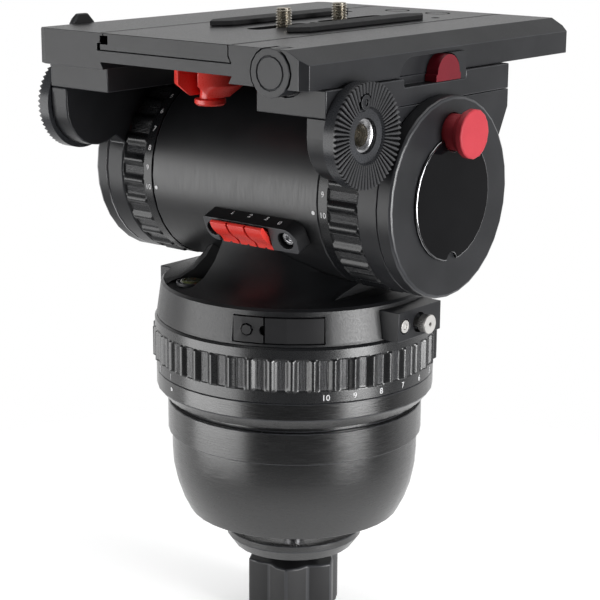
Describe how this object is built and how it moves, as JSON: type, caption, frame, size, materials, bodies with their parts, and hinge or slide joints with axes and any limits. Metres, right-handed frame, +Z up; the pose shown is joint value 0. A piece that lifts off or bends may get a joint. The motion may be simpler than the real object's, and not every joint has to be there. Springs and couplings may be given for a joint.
{
  "type": "fluid video head",
  "caption": "Fluid video head on a half ball: ridged pan and tilt drag rings, counterbalance levers, toothed pan bar rosettes and a sliding camera plate on a wide platform.",
  "frame": {"origin": "centre of the half ball, on the pan axis and level with the bowl rim", "axes": "+Z up along the pan axis, +X along the tilt axis toward the end with the red lock button, +Y toward the front, -Y the operator's side"},
  "size_m": [0.2364, 0.2565, 0.3727],
  "materials": {
    "black_metal": "satin black anodised",
    "cast_black": "fine textured black paint",
    "black_plastic": "matt",
    "gloss_black": "gloss",
    "grip_rubber": "matt",
    "red_plastic": "smooth red",
    "red_rubber": "matt red",
    "crimson": "smooth deep red",
    "bright_steel": "turned",
    "dark_steel": "ground",
    "vial": "clear with a pale green fluid"
  },
  "bodies": {
    "base": {"half_ball": "black_metal", "ball_stud": "bright_steel", "bowl_washer": "black_metal", "pan_base": "black_metal", "pan_spindle": "bright_steel", "pan_drag_discs": "dark_steel"},
    "tie_down": {"tie_down_knob": "black_plastic"},
    "pan_ring": {"pan_drag_ring": "black_metal"},
    "pan": {"pan_bearing": "bright_steel", "pan_housing": "cast_black", "ear_block_right": "black_metal", "ear_block_left": "black_metal", "brake_screw": "bright_steel", "light_panel": "black_plastic", "battery_cover": "black_plastic", "level_ring": "black_metal", "level_vial": "vial", "tilt_barrel": "black_metal", "spring_pack": "dark_steel", "tilt_drag_pack_right": "dark_steel", "tilt_drag_pack_left": "dark_steel", "tilt_bearing_right": "bright_steel", "tilt_bearing_left": "bright_steel", "selector_housing": "black_plastic", "selector_pin": "bright_steel", "selector_screw_left": "bright_steel", "selector_screw_right": "bright_steel"},
    "lock_pin": {"pan_lock_pin": "bright_steel"},
    "light_key": {"light_button": "black_plastic"},
    "tilt_ring_r": {"tilt_ring_right": "black_metal"},
    "tilt_ring_l": {"tilt_ring_left": "black_metal"},
    "lever_1": {"balance_lever_1": "red_plastic"},
    "lever_2": {"balance_lever_2": "red_plastic"},
    "lever_3": {"balance_lever_3": "red_plastic"},
    "platform": {"tilt_axle": "bright_steel", "platform_frame": "black_metal", "side_block_right": "black_metal", "side_block_left": "black_metal", "side_arm_right": "black_metal", "side_arm_left": "black_metal", "end_cap_right": "black_metal", "end_cap_left": "black_metal", "name_disc": "gloss_black", "rosette_right": "black_metal", "rosette_left": "black_metal", "bar_insert_right": "bright_steel", "bar_insert_left": "bright_steel", "rosette_screw_right": "black_metal", "rosette_screw_left": "black_metal", "lock_hub": "red_plastic"},
    "camera_slide": {"sliding_plate": "black_metal", "grip_strip_right": "grip_rubber", "grip_strip_left": "grip_rubber"},
    "screw_rear": {"camera_screw_rear": "bright_steel"},
    "screw_front": {"camera_screw_front": "bright_steel"},
    "tilt_lock": {"tilt_lock_knob": "red_rubber"},
    "key": {"release_key": "crimson"},
    "rear_clamp": {"clamp_knob": "black_metal"},
    "side_knob": {"plate_knob": "black_plastic"},
    "plunger": {"lock_plunger": "red_plastic"}
  },
  "joints": [
    {"name": "tie_down_turn", "type": "hinge", "parent": "base", "child": "tie_down", "pos_m": [0, 0, -0.08], "axis": [0, 0, 1], "continuous": true},
    {"name": "pan_drag_turn", "type": "hinge", "parent": "base", "child": "pan_ring", "pos_m": [0, 0, 0.068], "axis": [0, 0, 1], "range_deg": [0, 108]},
    {"name": "pan", "type": "hinge", "parent": "base", "child": "pan", "pos_m": [0, 0, 0.09], "axis": [0, 0, 1], "continuous": true},
    {"name": "pan_lock_slide", "type": "slide", "parent": "pan", "child": "lock_pin", "axis": [1, 0, 0], "range_m": [-0.004, 0]},
    {"name": "light_press", "type": "slide", "parent": "pan", "child": "light_key", "axis": [-0.342, 0.9397, 0], "range_m": [0, 0.001], "stiffness_N_per_m": 600},
    {"name": "tilt_drag_turn_right", "type": "hinge", "parent": "pan", "child": "tilt_ring_r", "pos_m": [0.076, 0, 0.1675], "axis": [1, 0, 0], "range_deg": [0, 108]},
    {"name": "tilt_drag_turn_left", "type": "hinge", "parent": "pan", "child": "tilt_ring_l", "pos_m": [-0.076, 0, 0.1675], "axis": [1, 0, 0], "range_deg": [0, 108]},
    {"name": "lever_1_rock", "type": "hinge", "parent": "pan", "child": "lever_1", "pos_m": [-0.0012, -0.05767, 0.1442], "axis": [1, 0, 0], "range_deg": [-8, 12]},
    {"name": "lever_2_rock", "type": "hinge", "parent": "pan", "child": "lever_2", "pos_m": [0.0119, -0.05767, 0.1442], "axis": [1, 0, 0], "range_deg": [-8, 12]},
    {"name": "lever_3_rock", "type": "hinge", "parent": "pan", "child": "lever_3", "pos_m": [0.025, -0.05767, 0.1442], "axis": [1, 0, 0], "range_deg": [-8, 12]},
    {"name": "tilt", "type": "hinge", "parent": "pan", "child": "platform", "pos_m": [0, 0, 0.1675], "axis": [1, 0, 0], "range_deg": [-65, 60]},
    {"name": "plate_slide", "type": "slide", "parent": "platform", "child": "camera_slide", "axis": [0, 1, 0], "range_m": [-0.05, 0.05]},
    {"name": "rear_screw_slide", "type": "slide", "parent": "camera_slide", "child": "screw_rear", "axis": [0, 1, 0], "range_m": [-0.023, 0.015]},
    {"name": "front_screw_slide", "type": "slide", "parent": "camera_slide", "child": "screw_front", "axis": [0, 1, 0], "range_m": [-0.011, 0.037]},
    {"name": "tilt_lock_press", "type": "slide", "parent": "platform", "child": "tilt_lock", "axis": [1, 0, 0], "range_m": [-0.003, 0]},
    {"name": "key_slide", "type": "slide", "parent": "platform", "child": "key", "axis": [0, 1, 0], "range_m": [-0.02, 0]},
    {"name": "rear_clamp_turn", "type": "hinge", "parent": "platform", "child": "rear_clamp", "pos_m": [0.0745, -0.107, 0.2436], "axis": [0, 1, 0], "range_deg": [0, 90]},
    {"name": "side_knob_turn", "type": "hinge", "parent": "platform", "child": "side_knob", "pos_m": [-0.1, -0.07597, 0.2526], "axis": [1, 0, 0], "range_deg": [0, 90]},
    {"name": "plunger_pull", "type": "slide", "parent": "platform", "child": "plunger", "axis": [0, 0, -1], "range_m": [0, 0.004], "stiffness_N_per_m": 800}
  ]
}
